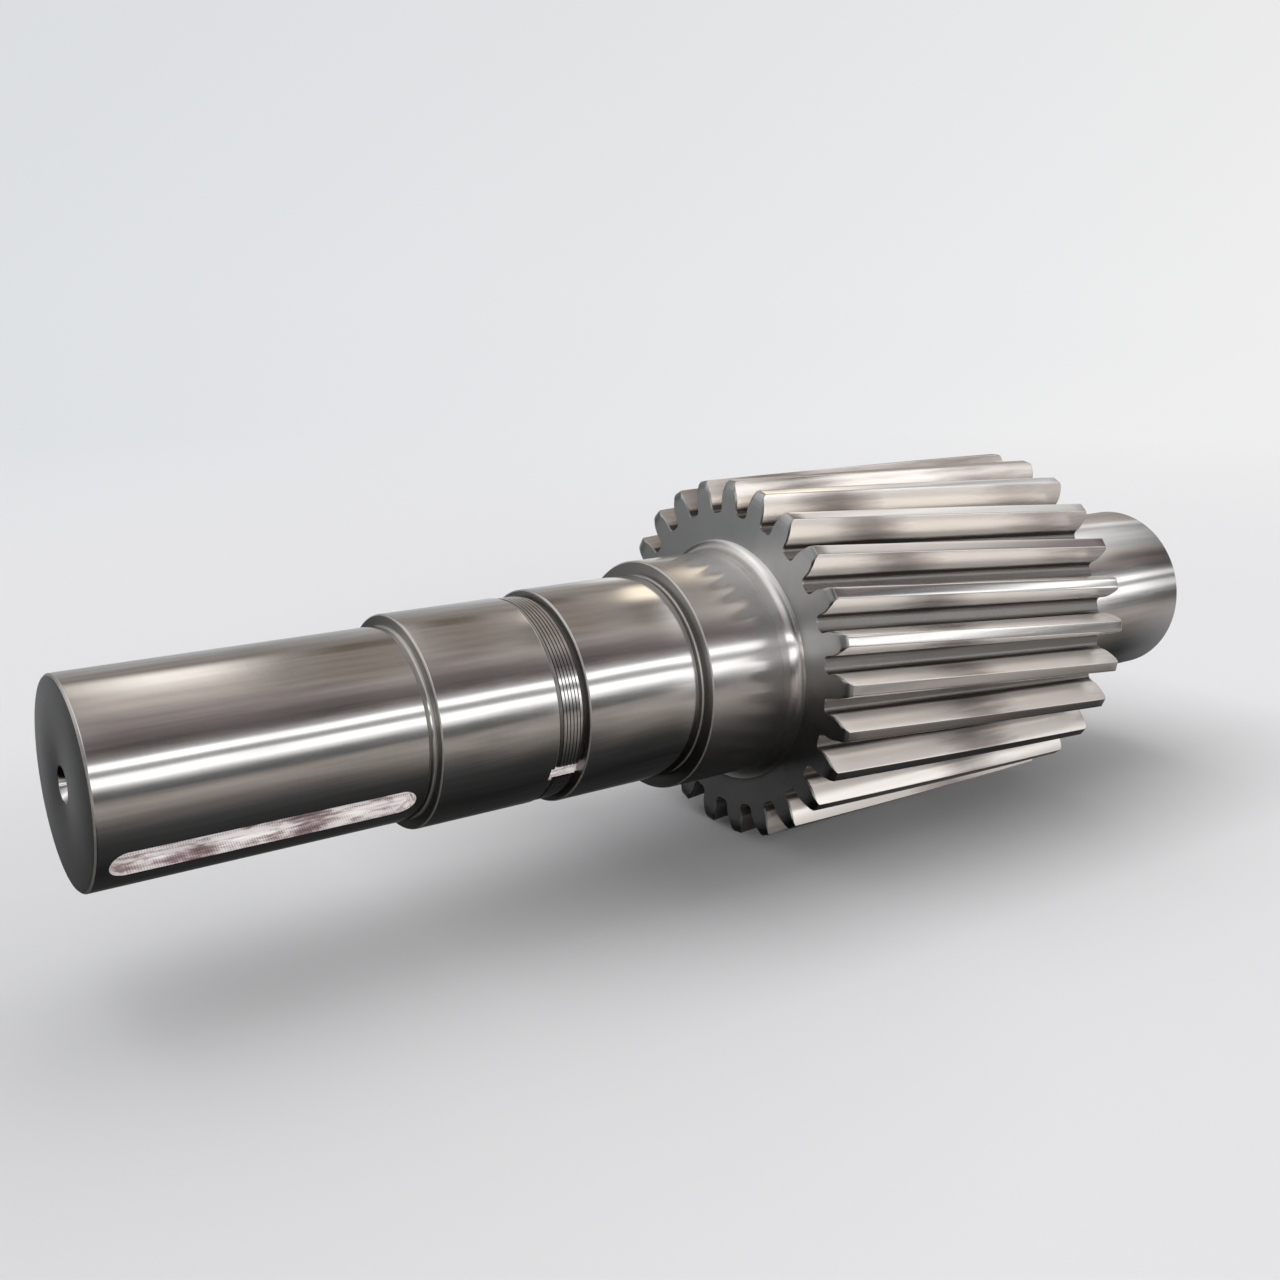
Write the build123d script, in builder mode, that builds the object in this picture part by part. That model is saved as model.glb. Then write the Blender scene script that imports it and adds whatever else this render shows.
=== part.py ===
from build123d import *
from math import acos, atan, cos, pi, radians, sin, tan
import os

os.makedirs("parts", exist_ok=True)

# Helical pinion shaft, turned and cut from one forging. Millimetres.
# It is drawn standing on its drive end, with its axis along +Z, and laid down
# along +X at the end, so the drive end faces -X and the teeth rest below.

# Lengths of the turned sections, in order from the drive end
DRIVE_LENGTH = 160.0  # keyed seat for a coupling hub
SEAL_LENGTH = 67.0  # ground band under the shaft seal
THREAD_LENGTH = 16.0  # locknut thread
BEARING_LENGTH = 73.5  # seat of the bearing beside the locknut
COLLAR_LENGTH = 60.0  # collar between the bearing and the teeth
FACE_WIDTH = 234.5  # length of the teeth
FAR_COLLAR_LENGTH = 17.0  # collar on the far side of the teeth
FAR_BEARING_LENGTH = 114.5  # seat of the far bearing

# Diameters of the same sections
DRIVE_DIAMETER = 100.0
SEAL_DIAMETER = 111.0
THREAD_DIAMETER = 110.0
BEARING_DIAMETER = 116.0
COLLAR_DIAMETER = 131.0
FAR_BEARING_DIAMETER = 112.0

# Edges, blends and grinding reliefs
DRIVE_CHAMFER = 1.5
SHOULDER_CHAMFER = 1.2
THREAD_CHAMFER = 1.0
END_CHAMFER = 3.0
GEAR_BLEND = 7.0  # radius from a collar up into a face of the gear
RELIEF_WIDTH = 4.0  # groove that clears the grinding wheel
RELIEF_DEPTH = 1.2
UNDERCUT_WIDTH = 2.5  # groove where the thread runs out
UNDERCUT_DEPTH = 2.0

# Helical involute teeth
TEETH = 25
NORMAL_MODULE = 8.0
PRESSURE_ANGLE = 20.0  # in the normal section
HELIX_ANGLE = 5.25  # right hand
PROFILE_SHIFT = -0.2  # all three factors are in modules
ADDENDUM = 1.0
DEDENDUM = 1.4
ROOT_FILLET = 3.2
TIP_BEVEL_LENGTH = 2.0  # bevel at both ends of each tooth, along the axis
TIP_BEVEL_DEPTH = 4.0  # and towards the axis
FIRST_GAP_ANGLE = 0.6  # gap centre at the near face, turned from straight below
FLANK_POINTS = 4  # points on each involute
STATIONS = 3  # sections that each gap is lofted through
OVERRUN = 12.0  # how far a gap's cutting form reaches past each face

# Sunk keyway with round ends, cut by an end mill
KEYWAY_WIDTH = 16.0
KEYWAY_DEPTH = 6.0
KEYWAY_START = 6.5
KEYWAY_LENGTH = 145.0
KEYWAY_ANGLE = -56.5  # turned from straight below

# Slot for the lock washer's tongue, across the thread
LOCK_SLOT_WIDTH = 8.0
LOCK_SLOT_DEPTH = 3.5
LOCK_SLOT_LENGTH = 21.0
LOCK_SLOT_OVERLAP = 2.0  # how far it runs into the bearing seat
LOCK_SLOT_ANGLE = -60.0

# Lathe centre holes in both ends
CENTRE_PILOT_DIAMETER = 8.0
CENTRE_MOUTH_DIAMETER = 17.0
CENTRE_DEPTH = 18.0
CENTRE_CONE_ANGLE = 60.0

# Where each section ends along the axis
drive_end = DRIVE_LENGTH
seal_end = drive_end + SEAL_LENGTH
thread_end = seal_end + THREAD_LENGTH
bearing_end = thread_end + BEARING_LENGTH
collar_end = bearing_end + COLLAR_LENGTH
gear_end = collar_end + FACE_WIDTH
far_collar_end = gear_end + FAR_COLLAR_LENGTH
shaft_end = far_collar_end + FAR_BEARING_LENGTH

# Gear sizes in the section across the axis
helix = radians(HELIX_ANGLE)
pitch_radius = NORMAL_MODULE * TEETH / cos(helix) / 2
tip_radius = pitch_radius + (ADDENDUM + PROFILE_SHIFT) * NORMAL_MODULE
root_radius = pitch_radius - (DEDENDUM - PROFILE_SHIFT) * NORMAL_MODULE
normal_pressure = radians(PRESSURE_ANGLE)
pressure = atan(tan(normal_pressure) / cos(helix))
base_radius = pitch_radius * cos(pressure)
cutter_radius = tip_radius + NORMAL_MODULE / 2


def involute(angle):
    """Involute function of a pressure angle, in radians."""
    return tan(angle) - angle


def half_gap(radius):
    """Half the angle of a tooth gap at a radius, in radians."""
    at_pitch = (pi / 2 - 2 * PROFILE_SHIFT * tan(normal_pressure)) / TEETH
    local = acos(min(1.0, base_radius / radius))
    return at_pitch + involute(local) - involute(pressure)


def flank_point(radius, side):
    """Point on one flank of a gap whose middle lies along the local X axis."""
    angle = side * half_gap(radius)
    return (radius * cos(angle), radius * sin(angle))


def helix_turn(distance):
    """Degrees that the teeth turn over a distance along the axis."""
    return distance * tan(helix) / pitch_radius * 180 / pi


# Turned blank: every step, relief, chamfer and blend in one half section
with BuildPart() as shaft:
    with BuildSketch(Plane.XZ):
        with BuildLine():
            Polyline(
                (0, 0),
                (DRIVE_DIAMETER / 2 - DRIVE_CHAMFER, 0),
                (DRIVE_DIAMETER / 2, DRIVE_CHAMFER),
                (DRIVE_DIAMETER / 2, drive_end - RELIEF_WIDTH),
                (DRIVE_DIAMETER / 2 - RELIEF_DEPTH, drive_end - RELIEF_WIDTH * 0.7),
                (DRIVE_DIAMETER / 2 - RELIEF_DEPTH, drive_end),
                (SEAL_DIAMETER / 2 - SHOULDER_CHAMFER, drive_end),
                (SEAL_DIAMETER / 2, drive_end + SHOULDER_CHAMFER),
                (SEAL_DIAMETER / 2, seal_end - THREAD_CHAMFER),
                (THREAD_DIAMETER / 2 - THREAD_CHAMFER, seal_end),
                (THREAD_DIAMETER / 2, seal_end + THREAD_CHAMFER),
                (THREAD_DIAMETER / 2, thread_end - UNDERCUT_WIDTH * 1.4),
                (THREAD_DIAMETER / 2 - UNDERCUT_DEPTH, thread_end - UNDERCUT_WIDTH),
                (THREAD_DIAMETER / 2 - UNDERCUT_DEPTH, thread_end),
                (BEARING_DIAMETER / 2 - SHOULDER_CHAMFER, thread_end),
                (BEARING_DIAMETER / 2, thread_end + SHOULDER_CHAMFER),
                (BEARING_DIAMETER / 2, bearing_end - RELIEF_WIDTH),
                (BEARING_DIAMETER / 2 - RELIEF_DEPTH, bearing_end - RELIEF_WIDTH * 0.7),
                (BEARING_DIAMETER / 2 - RELIEF_DEPTH, bearing_end),
                (COLLAR_DIAMETER / 2 - SHOULDER_CHAMFER, bearing_end),
                (COLLAR_DIAMETER / 2, bearing_end + SHOULDER_CHAMFER),
                (COLLAR_DIAMETER / 2, collar_end - GEAR_BLEND),
            )
            RadiusArc(
                (COLLAR_DIAMETER / 2, collar_end - GEAR_BLEND),
                (COLLAR_DIAMETER / 2 + GEAR_BLEND, collar_end),
                GEAR_BLEND,
            )
            Polyline(
                (COLLAR_DIAMETER / 2 + GEAR_BLEND, collar_end),
                (tip_radius - TIP_BEVEL_DEPTH, collar_end),
                (tip_radius, collar_end + TIP_BEVEL_LENGTH),
                (tip_radius, gear_end - TIP_BEVEL_LENGTH),
                (tip_radius - TIP_BEVEL_DEPTH, gear_end),
                (COLLAR_DIAMETER / 2 + GEAR_BLEND, gear_end),
            )
            RadiusArc(
                (COLLAR_DIAMETER / 2 + GEAR_BLEND, gear_end),
                (COLLAR_DIAMETER / 2, gear_end + GEAR_BLEND),
                GEAR_BLEND,
            )
            Polyline(
                (COLLAR_DIAMETER / 2, gear_end + GEAR_BLEND),
                (COLLAR_DIAMETER / 2, far_collar_end - SHOULDER_CHAMFER),
                (COLLAR_DIAMETER / 2 - SHOULDER_CHAMFER, far_collar_end),
                (FAR_BEARING_DIAMETER / 2 - RELIEF_DEPTH, far_collar_end),
                (FAR_BEARING_DIAMETER / 2 - RELIEF_DEPTH, far_collar_end + RELIEF_WIDTH * 0.7),
                (FAR_BEARING_DIAMETER / 2, far_collar_end + RELIEF_WIDTH),
                (FAR_BEARING_DIAMETER / 2, shaft_end - END_CHAMFER),
                (FAR_BEARING_DIAMETER / 2 - END_CHAMFER, shaft_end),
                (0, shaft_end),
                (0, 0),
            )
        make_face()
    revolve(axis=Axis.Z)

# One tooth gap: the involute gap section, lofted along the helix past both faces
with BuildPart() as tooth_gap:
    for station in range(STATIONS):
        along = (FACE_WIDTH + 2 * OVERRUN) * station / (STATIONS - 1) - OVERRUN
        turn = FIRST_GAP_ANGLE + helix_turn(along)
        section = Plane.XY.offset(collar_end + along).rotated((0, 0, turn))
        with BuildSketch(section):
            with BuildLine():
                step = (cutter_radius - base_radius) / (FLANK_POINTS - 1)
                radii = [base_radius + step * i for i in range(FLANK_POINTS)]
                left = Spline(*[flank_point(r, 1) for r in radii])
                right = Spline(*[flank_point(r, -1) for r in radii])
                half_base = half_gap(base_radius)
                root_left = (root_radius * cos(half_base), root_radius * sin(half_base))
                root_right = (root_left[0], -root_left[1])
                left_wall = Line(left @ 0, root_left)
                right_wall = Line(right @ 0, root_right)
                floor = ThreePointArc(root_left, (root_radius, 0), root_right)
                mouth = Line(left @ 1, right @ 1)
            make_face()
            corners = vertices().sort_by(Axis.X)[:2]
            fillet(corners, radius=ROOT_FILLET)
    loft()

with shaft:
    # The gaps leave the teeth standing
    with PolarLocations(0, TEETH):
        add(tooth_gap.part, mode=Mode.SUBTRACT)

    # Keyway for the coupling hub
    key_plane = Plane(
        origin=(0, 0, KEYWAY_START + KEYWAY_LENGTH / 2),
        x_dir=(0, 0, 1),
        z_dir=(cos(radians(KEYWAY_ANGLE)), sin(radians(KEYWAY_ANGLE)), 0),
    )
    with BuildSketch(key_plane.offset(DRIVE_DIAMETER / 2 - KEYWAY_DEPTH)):
        SlotOverall(KEYWAY_LENGTH, KEYWAY_WIDTH)
    extrude(amount=2 * KEYWAY_DEPTH, mode=Mode.SUBTRACT)

    # Slot across the thread for the tongue of the lock washer
    slot_plane = Plane(
        origin=(0, 0, thread_end + LOCK_SLOT_OVERLAP - LOCK_SLOT_LENGTH / 2),
        x_dir=(0, 0, 1),
        z_dir=(cos(radians(LOCK_SLOT_ANGLE)), sin(radians(LOCK_SLOT_ANGLE)), 0),
    )
    with BuildSketch(slot_plane.offset(THREAD_DIAMETER / 2 - LOCK_SLOT_DEPTH)):
        Rectangle(LOCK_SLOT_LENGTH, LOCK_SLOT_WIDTH)
    extrude(amount=2 * LOCK_SLOT_DEPTH, mode=Mode.SUBTRACT)

    # Centre holes, which the shaft was turned and ground between
    with Locations(Location((0, 0, 0), (180, 0, 0)), Location((0, 0, shaft_end))):
        CounterSinkHole(
            radius=CENTRE_PILOT_DIAMETER / 2,
            counter_sink_radius=CENTRE_MOUTH_DIAMETER / 2,
            depth=CENTRE_DEPTH,
            counter_sink_angle=CENTRE_CONE_ANGLE,
        )

pinion_shaft = shaft.part.rotate(Axis.Y, 90)
pinion_shaft.label = "pinion_shaft"
export_step(pinion_shaft, "parts/pinion_shaft.step")
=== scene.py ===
"""Dressed model and studio for a helical pinion shaft.

The shaft is one forging: a keyed drive end, a seal band, a locknut thread, a bearing seat,
a collar that blends into a wide helical gear, and a far journal. Lengths inside the classes
are millimetres, as on a workshop drawing, and every mesh is built in metres in the frame of
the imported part, with the shaft's axis along +X and the drive end's face at x = 0. Lengths
inside the finishes and the studio are metres.
"""

from __future__ import annotations

import logging
import math
from dataclasses import dataclass
from enum import Enum, IntEnum
from typing import Callable

import bmesh
import bpy
from mathutils import Matrix, Vector

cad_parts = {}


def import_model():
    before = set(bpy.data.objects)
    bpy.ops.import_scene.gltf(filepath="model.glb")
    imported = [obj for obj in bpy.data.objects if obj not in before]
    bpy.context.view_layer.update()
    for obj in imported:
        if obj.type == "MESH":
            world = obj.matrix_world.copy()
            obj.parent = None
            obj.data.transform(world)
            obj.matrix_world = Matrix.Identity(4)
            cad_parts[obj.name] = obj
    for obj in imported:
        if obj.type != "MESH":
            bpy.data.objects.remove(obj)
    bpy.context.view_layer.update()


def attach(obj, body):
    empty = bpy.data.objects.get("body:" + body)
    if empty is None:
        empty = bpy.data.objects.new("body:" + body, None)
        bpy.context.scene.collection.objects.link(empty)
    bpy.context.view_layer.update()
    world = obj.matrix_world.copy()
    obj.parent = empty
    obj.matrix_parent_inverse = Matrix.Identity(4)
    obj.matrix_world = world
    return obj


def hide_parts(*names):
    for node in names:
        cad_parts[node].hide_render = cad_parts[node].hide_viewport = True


LOG = logging.getLogger("pinion_shaft")
MM = 0.001
NODE = "pinion_shaft"
SEGMENTS = 320  # steps in a full turn of the spun forms
SAME_PLACE = 1e-7  # metres within which two places are the same
SAME_TOOTH_END = 2e-6  # metres within which two neighbouring teeth meet
FLAT = 0.9  # share of a normal along the shaft from which a face is an end face
SLANTED = 0.4  # share from which a face is a chamfer

Point = tuple[float, float]
Colour = tuple[float, float, float]
Corner = bmesh.types.BMVert
Edge = bmesh.types.BMEdge
Form = bmesh.types.BMesh
Material = bpy.types.Material
Outputs = bpy.types.NodeOutputs
Piece = bpy.types.Object
Socket = bpy.types.NodeSocket
Value = Socket | float
Marks = tuple[Socket, Socket]


class Surface(IntEnum):
    """Material slots of a steel piece, in the order in which they are given to its mesh."""

    GROUND = 0
    FACE = 1
    FLANK = 2
    MILLED = 3
    GROOVE = 4
    TURNED = 5
    RIM = 6


# ---------------------------------------------------------------------------------------
# Finishes
# ---------------------------------------------------------------------------------------


@dataclass
class NodeSheet:
    """Lays nodes into one node tree and wires them up.

    Args:
        tree: Node tree that receives the nodes.
        laid: Number of nodes laid so far.
    """

    tree: bpy.types.NodeTree
    laid: int = 0

    @classmethod
    def fresh(cls, owner: Material | bpy.types.World) -> NodeSheet:
        """Empties the node tree of a material or world and opens a sheet on it.

        Args:
            owner: Material or world.

        Returns:
            The sheet.
        """
        owner.use_nodes = True
        owner.node_tree.nodes.clear()
        return cls(owner.node_tree)

    def add(self, kind: str, **settings: object) -> bpy.types.Node:
        """Adds a node.

        Args:
            kind: Blender's identifier of the node.
            **settings: Properties to set on the node.

        Returns:
            The new node.
        """
        node = self.tree.nodes.new(kind)
        node.location = (180 * (self.laid % 12), -260 * (self.laid // 12))
        self.laid += 1
        for name, value in settings.items():
            setattr(node, name, value)
        return node

    def feed(self, socket: Socket, value: Value | tuple[float, ...]) -> None:
        """Wires an output into an input, or writes a number or colour there.

        Args:
            socket: Input that receives it.
            value: Output socket, number or colour.
        """
        if isinstance(value, bpy.types.NodeSocket):
            self.tree.links.new(value, socket)
        else:
            socket.default_value = value

    def fed(self, kind: str, values: dict[str | int, object], **settings: object) -> Outputs:
        """Adds a node and feeds its inputs.

        Args:
            kind: Blender's identifier of the node.
            values: What goes into each named or numbered input.
            **settings: Properties to set on the node.

        Returns:
            The node's outputs.
        """
        node = self.add(kind, **settings)
        for name, value in values.items():
            self.feed(node.inputs[name], value)
        return node.outputs

    def math(self, operation: str, first: Value, second: Value = 0.0) -> Socket:
        """Result of one of Blender's math operations on one or two values."""
        return self.fed("ShaderNodeMath", {0: first, 1: second}, operation=operation)[0]

    def plus(self, first: Value, second: Value) -> Socket:
        """Sum of two values."""
        return self.math("ADD", first, second)

    def minus(self, first: Value, second: Value) -> Socket:
        """Difference of two values."""
        return self.math("SUBTRACT", first, second)

    def times(self, first: Value, *others: Value) -> Socket:
        """Product of two or more values."""
        for other in others:
            first = self.math("MULTIPLY", first, other)
        return first

    def apart(self, first: Value, second: Value) -> Socket:
        """How far two values lie apart."""
        return self.math("ABSOLUTE", self.minus(first, second))

    def distance(self, first: Socket, second: Socket) -> Socket:
        """Distance of a point of a plane from the plane's origin."""
        return self.math("SQRT", self.plus(self.times(first, first), self.times(second, second)))

    def shared(self, first: Socket, second: Socket, share: float) -> Socket:
        """Sum of two patterns, of which the second has the given share."""
        return self.plus(self.times(first, 1 - share), self.times(second, share))

    def scaled(self, vector: Socket | Colour, factor: Value) -> Socket:
        """A vector or colour times a number."""
        return self.fed("ShaderNodeVectorMath", {0: vector, "Scale": factor}, operation="SCALE")["Vector"]

    def point(self, first: Value, second: Value = 0.0) -> Socket:
        """A vector made from its X and Y."""
        return self.fed("ShaderNodeCombineXYZ", {0: first, 1: second})[0]

    def object_point(self, stretch: Colour = (1.0, 1.0, 1.0)) -> Socket:
        """Object coordinates, multiplied along X, Y and Z."""
        coordinates = self.add("ShaderNodeTexCoord").outputs["Object"]
        return self.fed("ShaderNodeMapping", {"Vector": coordinates, "Scale": stretch})["Vector"]

    def parts(self, vector: Socket | None = None) -> list[Socket]:
        """X, Y and Z of a vector, or of the Object coordinates where none is given."""
        source = self.object_point() if vector is None else vector
        return list(self.fed("ShaderNodeSeparateXYZ", {0: source}))

    def noise(
        self, vector: Socket, scale: float, detail: float = 3.0, rough: float = 0.55, bent: float = 0.0
    ) -> Socket:
        """Grey of a noise of so many octaves, with the weight of the finer ones, and bent or not."""
        values = {"Vector": vector, "Scale": scale, "Detail": detail, "Roughness": rough, "Distortion": bent}
        return self.fed("ShaderNodeTexNoise", values)["Fac"]

    def span(self, value: Socket, start: float, end: float, first: float = 0.0, last: float = 1.0) -> Socket:
        """Maps the range from start to end onto the range from first to last, held at both ends."""
        names = ("Value", "From Min", "From Max", "To Min", "To Max")
        return self.fed("ShaderNodeMapRange", dict(zip(names, (value, start, end, first, last))))["Result"]

    def ramp(self, factor: Socket, stops: list[tuple[float, Colour]]) -> Socket:
        """Adds a colour ramp.

        Args:
            factor: Position on the ramp.
            stops: Positions and colours, in rising order.

        Returns:
            The colour.
        """
        node = self.add("ShaderNodeValToRGB")
        elements = node.color_ramp.elements
        while len(elements) > 1:
            elements.remove(elements[-1])
        elements[0].position = stops[0][0]
        for position, _ in stops[1:]:
            elements.new(position)
        for element, (_, colour) in zip(elements, stops):
            element.color = (*colour, 1.0)
        self.feed(node.inputs["Fac"], factor)
        return node.outputs["Color"]

    def mixed(self, share: Socket, first: Socket, second: Socket) -> Socket:
        """Mix of two colours, of which the second has the given share."""
        values = {"Factor": share, 4: first, 5: second}
        return self.fed("ShaderNodeMix", values, data_type="VECTOR")[1]

    def bump(self, height: Socket, depth: float, strength: float, below: Socket | None = None) -> Socket:
        """Normal of a relief of a depth in metres, on top of the normal of the one below it."""
        values = {"Height": height, "Distance": depth, "Strength": strength}
        return self.fed("ShaderNodeBump", values if below is None else values | {"Normal": below})["Normal"]


# On the tooth flanks, the painted shade in the roots and on the hidden side also reaches this darkest colour.
PIT_SHARE = 0.12  # how bright a dirty pit is beside the stain
TONES = (0.02, 0.36, 0.56)  # places of the pit, the stain and the colour in the tone
MIDDLE_TONES = (0.35, 0.65)  # tones between which the roughness goes from lowest to highest
DULL_HEIGHTS = (-0.03, 0.004)  # heights between which the extra roughness of the underside fades out


@dataclass(frozen=True)
class SteelFinish:
    """What every machined finish shares: a metal colour, mottled, with uneven gloss.

    Args:
        name: Name of the material.
        colour: Bright colour of the metal.
        stain: Darker colour where oil lies on it.
        gloss: Lowest and highest roughness.
        metallic: Share of bare metal.
        brushed: How far scratches around the axis spread the gloss along it, from 0 to 1.
        grain: Share of the tool marks in the tone; a slow mottling of oil makes up the rest.
        dull: Extra roughness of the side that faces the floor.
    """

    name: str
    colour: Colour
    stain: Colour
    gloss: Point
    metallic: float = 1.0
    brushed: float = 0.0
    grain: float = 0.25
    dull: float = 0.0

    def marks(self, sheet: NodeSheet) -> Marks:
        """Tool marks of the finish: their grey pattern and the normal that they leave."""
        pattern = sheet.noise(sheet.object_point(), 600.0)
        return pattern, sheet.bump(pattern, 0.00001, 0.2)

    def build(self) -> Material:
        """Builds the material.

        Returns:
            The material.
        """
        material = bpy.data.materials.new(self.name)
        sheet = NodeSheet.fresh(material)
        output = sheet.add("ShaderNodeOutputMaterial")
        slow_tone = sheet.noise(sheet.object_point((0.6, 1.0, 1.0)), 9.0, 5.0, 0.6, 0.8)
        marks, normal = self.marks(sheet)
        pit = tuple(channel * PIT_SHARE for channel in self.stain)
        rough = sheet.span(sheet.shared(slow_tone, marks, 0.5), *MIDDLE_TONES, *self.gloss)
        if self.dull:
            rough = sheet.plus(rough, sheet.span(sheet.parts()[2], *DULL_HEIGHTS, self.dull, 0.0))
        values = {
            "Metallic": self.metallic,
            "Base Color": sheet.ramp(
                sheet.shared(slow_tone, marks, self.grain), list(zip(TONES, (pit, self.stain, self.colour)))
            ),
            "Roughness": rough,
            "Normal": normal,
        }
        if self.brushed:
            around = sheet.add("ShaderNodeTangent", direction_type="RADIAL", axis="X").outputs["Tangent"]
            values |= {"Anisotropic": self.brushed, "Anisotropic Rotation": 0.25, "Tangent": around}
        sheet.feed(output.inputs["Surface"], sheet.fed("ShaderNodeBsdfPrincipled", values)["BSDF"])
        return material


@dataclass(frozen=True)
class GroundSteel(SteelFinish):
    """Cylinders that were turned and then ground, with fine scratches around them."""

    def marks(self, sheet: NodeSheet) -> Marks:
        """Fine scratches that run around the axis, and faint streaks of oil along it.

        Args:
            sheet: Sheet that receives the nodes.

        Returns:
            Their grey pattern and the normal that they leave.
        """
        scratches = sheet.noise(sheet.object_point((60.0, 1.0, 1.0)), 28.0, 4.0, 0.7)
        waviness = sheet.noise(sheet.object_point((0.5, 2.2, 2.2)), 22.0, 2.0, 0.5)
        streaks = sheet.noise(sheet.object_point((0.25, 3.0, 3.0)), 60.0, 3.0, 0.6)
        waves = sheet.bump(waviness, 0.0003, 0.10)
        return sheet.shared(scratches, streaks, 0.5), sheet.bump(scratches, 0.00002, 0.10, waves)


@dataclass(frozen=True)
class TurnedFace(SteelFinish):
    """Flat faces that were faced off on the lathe, with rings around the axis."""

    def marks(self, sheet: NodeSheet) -> Marks:
        """Rings that the facing tool left.

        Args:
            sheet: Sheet that receives the nodes.

        Returns:
            Their grey pattern and the normal that they leave.
        """
        _, y, z = sheet.parts()
        ring = sheet.point(sheet.distance(y, z))
        rings = sheet.shared(sheet.noise(ring, 1500.0, 3.0, 0.7), sheet.noise(ring, 160.0, 2.0, 0.5), 0.4)
        return rings, sheet.bump(rings, 0.00003, 0.25)


@dataclass(frozen=True)
class HobbedFlank(SteelFinish):
    """Tooth flanks, satin along their length, with painted shade in the roots, painted light and shade along
    the teeth, and painted shade on the hidden side near the near face.

    Args:
        painted_root_shade: Radii between which the painted shade in the roots thins out.
        shade_band_place: Where the painted band of shade across the teeth lies, along the shaft at the height
            of its axis.
        shade_band_reach: Distances from there between which the painted shade turns to painted light.
        shade_band_lean: How far the band moves along the shaft with height.
        far_shade_places: Places along the shaft between which painted shade begins again near the far end.
        painted_shade_ends: Places along the shaft between which the painted shade on the hidden side thins
            out.
        painted_shade_sides: Places across the shaft between which the hidden side begins.
        painted_shade_heights: Heights between which the painted shade lightens upwards.
        painted_shade_lean: How far the edge of the hidden side moves across the shaft with height.
        root_shade_tone: What the painted shade in the roots takes from the tone.
        light_and_shade_tones: What the painted light and shade adds in the band, beside it and near the far
            end.
        painted_shade_tones: What the painted shade takes low down and high up.
    """

    painted_root_shade: Point = (0.0893, 0.0935)
    shade_band_place: float = 0.475
    shade_band_reach: Point = (0.004, 0.040)
    shade_band_lean: float = 0.5
    far_shade_places: Point = (0.565, 0.61)
    painted_shade_ends: Point = (0.42, 0.50)
    painted_shade_sides: Point = (-0.02, 0.0)
    painted_shade_heights: Point = (-0.05, 0.05)
    painted_shade_lean: float = 0.33
    root_shade_tone: float = -1.6
    light_and_shade_tones: Colour = (-0.32, 0.20, -0.15)
    painted_shade_tones: Point = (-1.3, -0.6)

    def marks(self, sheet: NodeSheet) -> Marks:
        """Long faint streaks that follow the teeth, and the light and shade painted on them.

        Args:
            sheet: Sheet that receives the nodes.

        Returns:
            Their grey pattern and the normal that they leave.
        """
        streaks = sheet.noise(sheet.object_point((0.12, 3.0, 3.0)), 90.0, 3.0, 0.6)
        x, y, z = sheet.parts()
        # Painted shade in the roots of the teeth.
        root_shade = sheet.span(sheet.distance(y, z), *self.painted_root_shade, self.root_shade_tone, 0.0)
        # Painted light and shade along the teeth: a dark band that leans with height, lighter beside it,
        # darker again towards the far end.
        slope = sheet.plus(x, sheet.times(z, self.shade_band_lean))
        band_shade, band_light, far_shade = self.light_and_shade_tones
        shade_band = sheet.span(sheet.apart(slope, self.shade_band_place), *self.shade_band_reach, band_shade, band_light)
        slow_tone = sheet.math("MINIMUM", shade_band, sheet.span(slope, *self.far_shade_places, band_light, far_shade))
        # Painted shade on the hidden side of the teeth near the near face, deepest low down.
        hidden = sheet.span(sheet.minus(y, sheet.times(z, self.painted_shade_lean)), *self.painted_shade_sides)
        ends = sheet.span(x, *self.painted_shade_ends, 1.0, 0.0)
        painted_shade = sheet.times(ends, hidden, sheet.span(z, *self.painted_shade_heights, *self.painted_shade_tones))
        calm = sheet.plus(sheet.times(streaks, 0.5), 0.25)
        return sheet.plus(sheet.plus(calm, root_shade), sheet.plus(slow_tone, painted_shade)), sheet.bump(streaks, 0.00003, 0.05)


@dataclass(frozen=True)
class EndMilled(SteelFinish):
    """Slot floors and walls that an end mill left, with its swirls.

    Args:
        slot: Slot that the end mill cut.
        feed_marks: Swirls per metre of feed, in radians.
    """

    slot: Slot | None = None
    feed_marks: float = 5200.0

    def marks(self, sheet: NodeSheet) -> Marks:
        """Arcs that the end mill left as it moved along the slot, under stains of oil.

        Args:
            sheet: Sheet that receives the nodes.

        Returns:
            Their grey pattern and the normal that they leave.
        """
        turn, cutter_radius = math.radians(self.slot.angle), self.slot.width / 2 * MM
        x, y, z = sheet.parts()
        across = sheet.plus(sheet.times(y, -math.cos(turn)), sheet.times(z, -math.sin(turn)))
        inside = sheet.math("MAXIMUM", sheet.minus(cutter_radius**2, sheet.times(across, across)), 0.0)
        arc = sheet.plus(x, sheet.math("SQRT", inside))
        swirl = sheet.math("SINE", sheet.times(arc, self.feed_marks))
        chatter = sheet.noise(sheet.object_point(), 240.0, 4.0, 0.7)
        drawn = sheet.noise(sheet.object_point((0.12, 1.0, 1.0)), 420.0, 3.0, 0.65)
        spots = sheet.noise(sheet.object_point((0.5, 1.0, 1.0)), 55.0, 4.0, 0.65)
        stains = sheet.span(spots, 0.36, 0.56, -0.42, 0.04)
        relief = sheet.plus(sheet.plus(sheet.times(swirl, 0.10), drawn), chatter)
        tone = sheet.plus(sheet.plus(drawn, sheet.times(swirl, 0.05)), stains)
        return tone, sheet.bump(relief, 0.0001, 0.35)


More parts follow.
